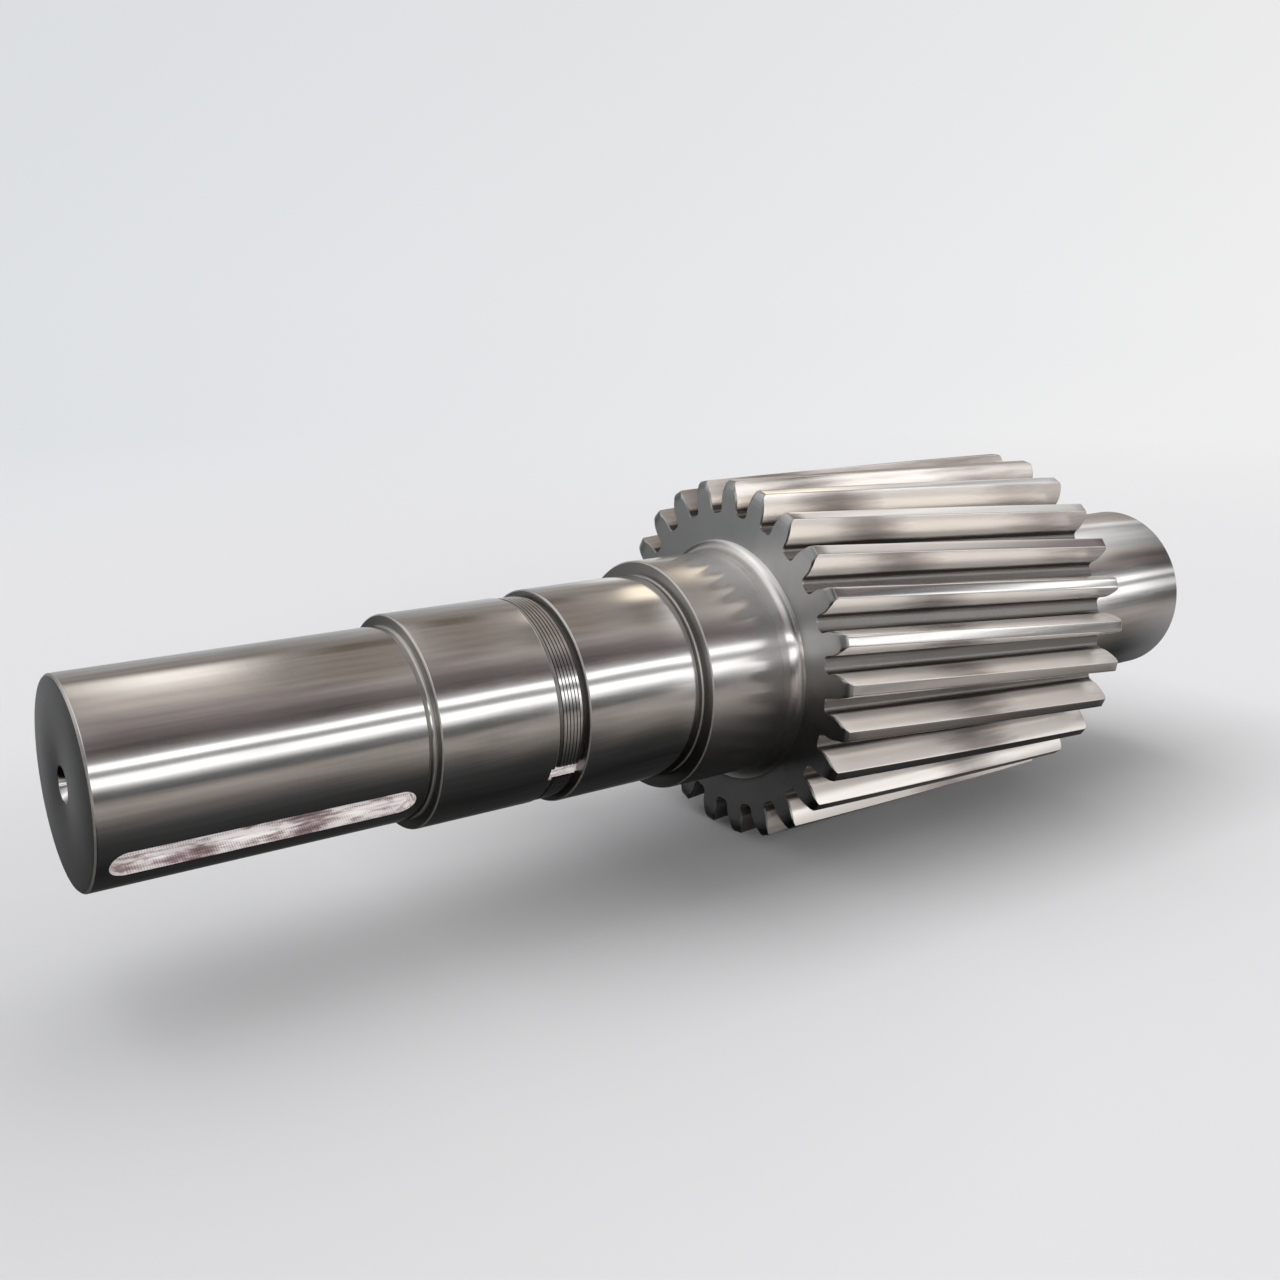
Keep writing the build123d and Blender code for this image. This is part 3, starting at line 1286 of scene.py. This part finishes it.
    def drawn_in(self, flat: list[Vector], inset: float) -> list[Vector]:
        """Moves the points of one tooth's outline inwards, least at its roots.

        Args:
            flat: Points from gap to gap.
            inset: Distance to move the points at the tip.

        Returns:
            The moved points, with both ends kept in the middle of their gaps.
        """
        moved = []
        low, high = self.tooth.root_radius, self.tooth.tip_radius
        for index, point in enumerate(flat):
            reach = inset * (self.root_share + (1 - self.root_share) * (point.length - low) / (high - low))
            if index in (0, len(flat) - 1):
                moved.append(point - point.normalized() * reach)
                continue
            tangent = (flat[index + 1] - flat[index - 1]).normalized()
            moved.append(point - Vector((-tangent.y, tangent.x)) * reach)
        return moved

    def surface_at(self, middle: Vector, normal: Vector) -> Surface:
        """Finish of a face of the gear: ground lands, hobbed flanks, and roots in the darker groove steel as
        painted shade.
        """
        radius = math.hypot(middle.y, middle.z) / MM
        if radius < self.at.collar_radius + self.at.blend - self.blend_rim:
            return Surface.TURNED
        if abs(normal.x) > self.face_tilt:
            return Surface.FACE
        # Painted shade: the roots take the darker groove steel.
        if radius < self.tooth.root_radius + self.painted_root_shade:
            return Surface.GROOVE
        return Surface.GROUND if radius > self.tooth.tip_radius - self.land_depth else Surface.FLANK


def corners_at(form: Form, place: float) -> list[Corner]:
    """Corners of a mesh that lie at one axial place."""
    return [corner for corner in form.verts if abs(corner.co.x - place * MM) < SAME_PLACE]


# ---------------------------------------------------------------------------------------
# Studio
# ---------------------------------------------------------------------------------------


class Tone(Enum):
    """Tint of a stretch of light."""

    PLAIN = (1.0, 1.0, 1.0)
    WARM = (1.09, 0.99, 0.91)
    DUSK = (1.10, 0.96, 0.95)
    COOL = (0.99, 1.0, 1.01)


@dataclass(frozen=True)
class Band:
    """Neighbouring lights of one tint among the surroundings, which fade into each other.

    Args:
        tone: Tint of the lights.
        lights: Angle of each in degrees, from straight up towards the front, and its brightness.
    """

    tone: Tone
    lights: tuple[Point, ...]


Bands = tuple[Band, ...]


@dataclass(frozen=True)
class Pane:
    """A soft-edged window among the surroundings, which adds to or takes from their light.

    Args:
        turns: Angles between which it fades in and out, in degrees.
        shares: Shares of the direction along the shaft between which it fades in and out.
        colour: Light of the window, as steel shows it.
    """

    turns: tuple[float, float, float, float]
    shares: tuple[float, float, float, float]
    colour: Colour

    def light(self, sheet: NodeSheet, angle: Socket, along: Socket, gain: float) -> Socket:
        """Light that the window adds.

        Args:
            sheet: Sheet that receives the nodes.
            angle: Angle about the shaft, in radians.
            along: Share of the direction that points along the shaft.
            gain: Strength of the surroundings.

        Returns:
            The light.
        """
        turns, shares = [math.radians(turn) for turn in self.turns], self.shares
        glass = sheet.times(
            sheet.span(angle, *turns[:2]),
            sheet.span(angle, *turns[2:], 1.0, 0.0),
            sheet.span(along, *shares[:2]),
            sheet.span(along, *shares[2:], 1.0, 0.0),
        )
        return sheet.scaled(tuple(channel * gain for channel in self.colour), glass)


@dataclass(frozen=True)
class Lamp:
    """A wide lamp that lights the floor and the teeth but stays out of the steel's gloss.

    Args:
        name: Name of the lamp.
        energy: Its strength.
        spread: Angle under which it is seen, in degrees.
        turns: Its turns about X, Y and Z, in degrees.
    """

    name: str
    energy: float
    spread: float
    turns: Colour

    def hang(self) -> None:
        """Hangs the lamp in the scene."""
        light = bpy.data.lights.new(self.name, "SUN")
        light.energy, light.angle = self.energy, math.radians(self.spread)
        holder = linked(self.name, light)
        holder.rotation_euler = tuple(math.radians(turn) for turn in self.turns)
        holder.visible_glossy = False


LAMP_MIDDLE = math.radians(70)  # between the two long lamps that the steel sees
SHELF_OFFSET = math.radians(21)  # from there to the cluttered shelves above and below them
SHELF_EDGES = (math.radians(3), math.radians(8))  # from the middle of a shelf to where it fades out
WINDOW_MIDDLE = math.radians(86)  # middle of what stays bright towards the drive end
WINDOW_EDGES = (math.radians(33), math.radians(42))  # from there to where it darkens
LAMPS: tuple[Lamp, ...] = (
    Lamp("key_diffuser", 0.75, 52, (-24, 8, 0)),
    Lamp("wide_diffuser", 1.0, 125, (-38, 25, 0)),
    Lamp("front_fill", 2.1, 40, (86, 0, -20)),
)

# Two long lamps stand in front of the shaft, at about 62 and 77 degrees. The rest is a
# workshop: a pale ceiling, a dark gap above and below the lamps, and a dark floor.
NEAR_STRETCH: Bands = (
    Band(Tone.PLAIN, ((-180, 0.012), (-140, 0.02), (-122, 0.05))),
    Band(Tone.COOL, ((-112, 0.16), (-104, 0.5), (-97, 0.44), (-89, 0.34))),
    Band(Tone.PLAIN, ((-76, 0.305), (-66, 0.26))),
    Band(Tone.WARM, ((-58, 0.215), (-48, 0.19), (-30, 0.2), (10, 0.215))),
    Band(Tone.DUSK, ((24, 0.21), (33, 0.145), (38, 0.105), (45, 0.105), (51, 0.19))),
    Band(Tone.PLAIN, ((56, 0.3), (58.2, 0.38), (59.6, 1.22), (65.0, 1.22), (66.3, 0.36))),
    Band(Tone.COOL, ((68, 0.29), (71.4, 0.32))),
    Band(Tone.PLAIN, ((73.2, 1.14), (80.5, 1.14), (83.5, 0.6), (87, 0.32))),
    Band(Tone.COOL, ((90.5, 0.16), (94, 0.125))),
    Band(Tone.WARM, ((100, 0.22), (104, 0.255), (112, 0.185))),
    Band(Tone.DUSK, ((120, 0.105),)),
    Band(Tone.PLAIN, ((132, 0.05), (146, 0.027), (180, 0.012))),
)

MIDDLE_STRETCH: Bands = (
    Band(Tone.PLAIN, ((-180, 0.012), (-140, 0.02), (-122, 0.05))),
    Band(Tone.COOL, ((-112, 0.2), (-104, 0.46), (-92, 0.44))),
    Band(Tone.PLAIN, ((-84, 0.4), (-72, 0.3))),
    Band(Tone.WARM, ((-62, 0.245), (-52, 0.19), (-30, 0.235), (0, 0.205), (18, 0.26), (27, 0.225))),
    Band(Tone.DUSK, ((33, 0.155), (39, 0.112), (45, 0.125), (51, 0.24))),
    Band(Tone.PLAIN, (
        (56, 0.36), (57.8, 0.4), (59.2, 1.18), (64.4, 1.16), (65.9, 0.4), (68, 0.31), (71.6, 0.33),
        (73.4, 1.12), (79.8, 1.12), (82.8, 0.6), (86, 0.42), (90, 0.22), (94, 0.16),
    )),
    Band(Tone.WARM, ((101, 0.22), (108, 0.25), (116, 0.195), (124, 0.13), (134, 0.075))),
    Band(Tone.PLAIN, ((146, 0.028), (180, 0.01))),
)

FAR_STRETCH: Bands = (
    Band(Tone.PLAIN, ((-180, 0.02), (-125, 0.06))),
    Band(Tone.WARM, ((-112, 0.2), (-104, 0.26), (-76, 0.255), (-64, 0.29), (-52, 0.32), (-46, 0.42))),
    Band(Tone.PLAIN, ((-42, 0.72), (-38, 0.7), (-33, 0.34), (-22, 0.5), (-10, 0.56), (2, 0.42), (10, 0.42))),
    Band(Tone.WARM, ((18, 0.34),)),
    Band(Tone.DUSK, ((25, 0.2), (31, 0.13), (42, 0.2))),
    Band(Tone.PLAIN, (
        (49, 0.23), (55, 0.42), (58.5, 0.7), (61, 1.2), (65.5, 1.15), (67.4, 0.45), (71.5, 0.36),
        (74.5, 0.9), (77, 1.15), (83, 1.1), (87, 0.8), (92, 0.5), (97, 0.22), (102, 0.185),
    )),
    Band(Tone.WARM, ((110, 0.26), (117, 0.29), (124, 0.2), (132, 0.14), (142, 0.1), (150, 0.07))),
    Band(Tone.PLAIN, ((165, 0.035), (180, 0.02))),
)

PANES: tuple[Pane, ...] = (
    Pane((-47, -37, -25, -6), (0.08, 0.20, 0.27, 0.36), (0.70, 0.67, 0.63)),
    Pane((-20, -8, 2, 16), (0.05, 0.15, 0.28, 0.36), (0.22, 0.20, 0.185)),
    Pane((-44, -38, -34, -26), (0.54, 0.565, 0.58, 0.60), (0.07, 0.06, 0.05)),
    Pane((-55, -44, -28, -18), (0.565, 0.585, 0.65, 0.70), (0.86, 0.74, 0.56)),
    Pane((-100, -92, -78, -66), (0.52, 0.56, 0.61, 0.66), (0.24, 0.23, 0.20)),
    Pane((-47, -41, -36, -22), (0.37, 0.42, 0.47, 0.51), (-0.10, -0.10, -0.105)),
    Pane((-36, -20, 10, 18), (0.38, 0.42, 0.48, 0.52), (-0.035, -0.04, -0.045)),
    Pane((-18, -12, 14, 22), (0.57, 0.585, 0.63, 0.66), (-0.08, -0.08, -0.08)),
    Pane((-84, -34, 26, 58), (-0.95, -0.66, -0.28, 0.10), (0.70, 0.70, 0.70)),
    Pane((-113, -103, -40, 0), (-1.2, -1.1, -0.60, -0.54), (0.46, 0.465, 0.47)),
    Pane((-32, -12, 28, 42), (0.63, 0.665, 0.76, 0.80), (0.27, 0.255, 0.24)),
    Pane((84, 90, 96, 106), (0.60, 0.64, 0.72, 0.78), (0.20, 0.19, 0.18)),
    Pane((88, 94, 118, 126), (-0.74, -0.66, -0.52, -0.40), (0.12, 0.115, 0.11)),
    Pane((55, 70, 150, 170), (-1.2, -1.1, -0.86, -0.76), (0.22, 0.21, 0.20)),
    Pane((105, 130, 181, 200), (0.80, 0.90, 1.1, 1.2), (0.30, 0.30, 0.31)),
    Pane((-200, -181, -130, -105), (0.80, 0.90, 1.1, 1.2), (0.30, 0.30, 0.31)),
    Pane((57, 59, 65, 67), (-0.80, -0.68, -0.56, -0.44), (0.5, 0.5, 0.5)),
    Pane((71, 74, 81, 84), (-0.75, -0.66, -0.56, -0.44), (0.35, 0.35, 0.35)),
)


@dataclass(frozen=True)
class Studio:
    """Pale floor and cove, the surroundings as the steel sees them, and the camera.

    Args:
        floor_height: Height of the floor, in metres.
        centre: Place along the shaft over the middle of the floor.
        floor_colour: Colour of the floor away from the shaft.
        near_shade: Brightness of the painted shadow on the floor beside the drive end, as a share of the
            rest.
        left_paint: Colour of the distance on the left.
        right_paint: Colour of the distance on the right.
        high_paint: Brightness of the cove high up, as a share of the rest.
        steel_gain: Strength of the surroundings at a brightness of 1.
        painted_shadow_place: Place along the shaft around which the floor is painted darker, as painted
            shadow.
        painted_shadow_reach: Distances from there between which it brightens.
        pool_sides: Distances from the axis between which the painted shade under the shaft fades out.
        pool_starts: Places along the shaft between which that shade fades in.
        pool_ends: Places along the shaft between which it fades out.
        pool_depth: Share of the light that it takes.
        painted_glow_places: Places along the shaft between which the painted glow of the floor, which
            lightens its shadow, thins out.
        painted_glow_shares: Share of that glow at these two places.
        far_off: Distances between which the floor melts into the cove.
        lens: Focal length of the camera, in millimetres.
        right: Direction to the right of the view.
        forward: Direction of the view.
        stand: Place of the camera.
    """

    floor_height: float
    centre: float = 0.4
    floor_colour: Colour = (0.692, 0.70, 0.722)
    near_shade: float = 0.83
    left_paint: Colour = (0.735, 0.755, 0.78)
    right_paint: Colour = (0.86, 0.86, 0.865)
    high_paint: float = 0.95
    steel_gain: float = 1 / 0.75
    painted_shadow_place: float = 0.02
    painted_shadow_reach: Point = (0.08, 0.42)
    pool_sides: Point = (0.07, 0.19)
    pool_starts: Point = (0.16, 0.32)
    pool_ends: Point = (0.62, 0.90)
    pool_depth: float = 0.34
    painted_glow_places: Point = (0.12, 0.30)
    painted_glow_shares: Point = (0.16, 0.03)
    far_off: Point = (0.9, 2.6)
    lens: float = 39.36
    right: Colour = (0.81692, -0.57675, 0.0)
    forward: Colour = (0.55967, 0.79272, -0.24158)
    stand: Colour = (-0.1296, -0.6290, 0.21265)

    def build(self) -> None:
        """Builds the floor, cove, lamps, surroundings and camera."""
        self.floor()
        self.cove()
        self.surroundings()
        for lamp in LAMPS:
            lamp.hang()
        self.camera()

    def backdrop(self, form: Form, name: str, material: Material) -> Piece:
        """Puts a backdrop under the shaft and keeps it out of the steel's gloss.

        Args:
            form: Its mesh, around the origin.
            name: Name of the piece.
            material: Its paint.

        Returns:
            The piece.
        """
        bmesh.ops.translate(form, vec=(self.centre, 0.0, self.floor_height), verts=form.verts)
        piece = to_piece(form, name)
        piece.data.materials.append(material)
        piece.visible_glossy = False
        return piece

    def paint(self, sheet: NodeSheet, x: Socket, y: Socket) -> Socket:
        """Tone of the distant floor and cove, which brightens to the right of the view.

        Args:
            sheet: Sheet that receives the nodes.
            x: Place along the shaft.
            y: Place across it.

        Returns:
            The colour.
        """
        side, ahead = 0.817, 0.577
        across = sheet.plus(sheet.times(x, side), sheet.times(y, -ahead))
        away = sheet.plus(sheet.times(x, ahead), sheet.times(y, side))
        bearing = sheet.math("DIVIDE", across, sheet.math("MAXIMUM", away, 0.5))
        middle = tuple(0.6 * left + 0.4 * right for left, right in zip(self.left_paint, self.right_paint))
        stops = [(0.0, self.left_paint), (0.5, middle), (1.0, self.right_paint)]
        return sheet.ramp(sheet.span(bearing, -0.45, 0.5), stops)

    def floor(self) -> None:
        """Lays a wide pale floor that takes the shadow and melts into the cove. Its colour also carries
        painted shadow beside the drive end and beside the gear, and a painted glow that is strongest near the
        drive end.
        """
        material = bpy.data.materials.new("floor_paper")
        sheet = NodeSheet.fresh(material)
        output = sheet.add("ShaderNodeOutputMaterial")
        x, y, _ = sheet.parts()
        # Painted shadow: the floor is darker around the drive end.
        painted_shadow_colour = tuple(channel * self.near_shade for channel in self.floor_colour)
        from_painted_shadow = sheet.distance(sheet.minus(x, self.painted_shadow_place), y)
        tone = sheet.ramp(sheet.span(from_painted_shadow, *self.painted_shadow_reach), [(0.0, painted_shadow_colour), (1.0, self.floor_colour)])
        # Painted shadow on the floor beside the gear.
        beside = sheet.span(sheet.math("ABSOLUTE", y), *self.pool_sides, 1.0, 0.0)
        under = sheet.times(
            beside, sheet.span(x, *self.pool_starts), sheet.span(x, *self.pool_ends, 1.0, 0.0)
        )
        painted_floor = sheet.scaled(tone, sheet.minus(1.0, sheet.times(under, self.pool_depth)))
        # Painted glow: part of the floor glows, most near the drive end, which lightens its shadow.
        painted_glow = sheet.span(x, *self.painted_glow_places, *self.painted_glow_shares)
        from_centre = sheet.distance(sheet.minus(x, self.centre), y)
        layers = {
            0: sheet.math("MAXIMUM", painted_glow, sheet.span(from_centre, *self.far_off)),
            1: sheet.fed("ShaderNodeBsdfDiffuse", {"Color": painted_floor})[0],
            2: sheet.fed("ShaderNodeEmission", {"Color": self.paint(sheet, x, y)})[0],
        }
        sheet.feed(output.inputs["Surface"], sheet.fed("ShaderNodeMixShader", layers)[0])
        form = bmesh.new()
        bmesh.ops.create_circle(form, cap_ends=True, segments=128, radius=9.0)
        floor = self.backdrop(form, "studio_floor", material)

    def cove(self) -> None:
        """Raises a pale dome around the floor as the background."""
        material = bpy.data.materials.new("cove_paint")
        sheet = NodeSheet.fresh(material)
        output = sheet.add("ShaderNodeOutputMaterial")
        x, y, z = sheet.parts()
        glow = {"Color": self.paint(sheet, x, y), "Strength": sheet.span(z, 0.2, 2.6, 1.0, self.high_paint)}
        sheet.feed(output.inputs["Surface"], sheet.fed("ShaderNodeEmission", glow)[0])
        form = bmesh.new()
        bmesh.ops.create_uvsphere(form, u_segments=96, v_segments=48, radius=8.9)
        bmesh.ops.reverse_faces(form, faces=form.faces)
        cove = self.backdrop(form, "studio_cove", material)
        for face in cove.data.polygons:
            face.use_smooth = True
        cove.visible_diffuse = False
        cove.visible_shadow = False
        cove.visible_transmission = False

    def surroundings(self) -> None:
        """Paints what the steel reflects, as angles about the shaft from straight up to the front."""
        world = bpy.data.worlds.new("studio_surroundings")
        bpy.context.scene.world = world
        sheet = NodeSheet.fresh(world)
        output = sheet.add("ShaderNodeOutputWorld")
        along, y, z = sheet.parts(sheet.add("ShaderNodeTexCoord").outputs["Generated"])
        angle = sheet.math("ARCTAN2", sheet.times(y, -1.0), z)
        turn = sheet.span(angle, -math.pi, math.pi)
        near, middle, far = (
            self.stretch(sheet, turn, bands) for bands in (NEAR_STRETCH, MIDDLE_STRETCH, FAR_STRETCH)
        )
        lights = sheet.mixed(sheet.span(along, 0.40, 0.50), near, middle)
        lights = sheet.mixed(sheet.span(along, 0.625, 0.67), lights, far)
        total = sheet.scaled(lights, sheet.times(self.clutter(sheet, angle, along), self.steel_gain))
        for pane in PANES:
            light = pane.light(sheet, angle, along, self.steel_gain)
            total = sheet.fed("ShaderNodeVectorMath", {0: total, 1: light}, operation="ADD")[0]
        background = sheet.fed("ShaderNodeBackground", {"Color": total})[0]
        sheet.feed(output.inputs["Surface"], background)

    def clutter(self, sheet: NodeSheet, angle: Socket, along: Socket) -> Socket:
        """Unevenness of the surroundings: soft patches, shelves beside the lamps and dim ends.

        Args:
            sheet: Sheet that receives the nodes.
            angle: Angle about the shaft, in radians.
            along: Share of the direction that points along the shaft.

        Returns:
            The brightness.
        """
        place = sheet.point(angle, sheet.times(along, 0.9))
        strip = sheet.point(sheet.times(angle, 6.0), along)
        patches = sheet.span(sheet.noise(place, 9.0, 4.0, 0.6), 0.30, 0.70, 0.82, 1.18)
        strips = sheet.span(sheet.noise(strip, 6.0, 3.0, 0.6), 0.30, 0.70, 0.84, 1.16)
        things = sheet.span(sheet.noise(place, 46.0, 3.0, 0.55), 0.46, 0.58, 0.0, 0.78)
        off_shelves = sheet.apart(sheet.apart(angle, LAMP_MIDDLE), SHELF_OFFSET)
        shelves = sheet.span(off_shelves, *SHELF_EDGES, 1.0, 0.0)
        room = sheet.span(sheet.apart(angle, WINDOW_MIDDLE), *WINDOW_EDGES)
        behind = sheet.times(room, sheet.span(along, -0.28, 0.0, 0.9, 0.0))
        ends = sheet.times(sheet.span(along, -0.95, -0.66, 0.5, 1.0), sheet.span(along, 0.81, 0.87, 1.0, 0.5))
        return sheet.times(
            sheet.times(patches, strips, sheet.minus(1.0, sheet.times(things, shelves))),
            sheet.times(sheet.minus(1.0, behind), ends),
        )

    def stretch(self, sheet: NodeSheet, turn: Socket, bands: Bands) -> Socket:
        """Paints one stretch of the surroundings, with two ramps that share its lights.

        Args:
            sheet: Sheet that receives the nodes.
            turn: Angle about the shaft, as a share of the full turn from straight down.
            bands: Lights of the stretch, in rising order of their angles.

        Returns:
            The colour.
        """
        stops = [
            ((angle + 180) / 360, tuple(level * tint for tint in band.tone.value))
            for band in bands
            for angle, level in band.lights
        ]
        middle = len(stops) // 2
        upper = sheet.math("GREATER_THAN", turn, stops[middle][0])
        return sheet.mixed(upper, sheet.ramp(turn, stops[: middle + 1]), sheet.ramp(turn, stops[middle:]))

    def camera(self) -> None:
        """Places the camera and hands it to the scene."""
        right, forward = Vector(self.right).normalized(), Vector(self.forward).normalized()
        up = right.cross(forward).normalized()
        matrix = Matrix((right, up, -forward)).transposed().to_4x4()
        matrix.translation = Vector(self.stand)
        data = bpy.data.cameras.new("studio_camera")
        data.lens = self.lens
        data.sensor_width = 36.0
        data.clip_start = 0.01
        data.clip_end = 50.0
        camera = linked("studio_camera", data)
        camera.matrix_world = matrix
        bpy.context.scene.camera = camera


def corners(bounds: object) -> list[list[float]]:
    """Lowest and highest corner of a box, as plain lists of numbers."""
    return [[float(value) for value in corner] for corner in bounds]


def main() -> None:
    """Builds the dressed shaft in the studio and reports each piece."""
    logging.basicConfig(level=logging.INFO, format="%(name)s %(message)s")
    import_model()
    bpy.context.scene.view_settings.view_transform = "Standard"
    at, hole, tooth = Stations(), CentreHole(), ToothForm()
    drive = DriveEnd(at, hole)
    palette = steel_palette(drive.keyway)
    pieces = [drive.build(palette)]
    pieces += ThreadedBand(at).build(palette)
    pieces.append(BearingAndCollar(at).build(palette))
    pieces.append(HelicalGear(at, tooth).build(palette))
    pieces.append(FarJournal(at, hole).build(palette))
    for piece in pieces:
        hand_over(piece)
    Studio(-tooth.tip_radius * MM).build()


if __name__ == "__main__":
    main()
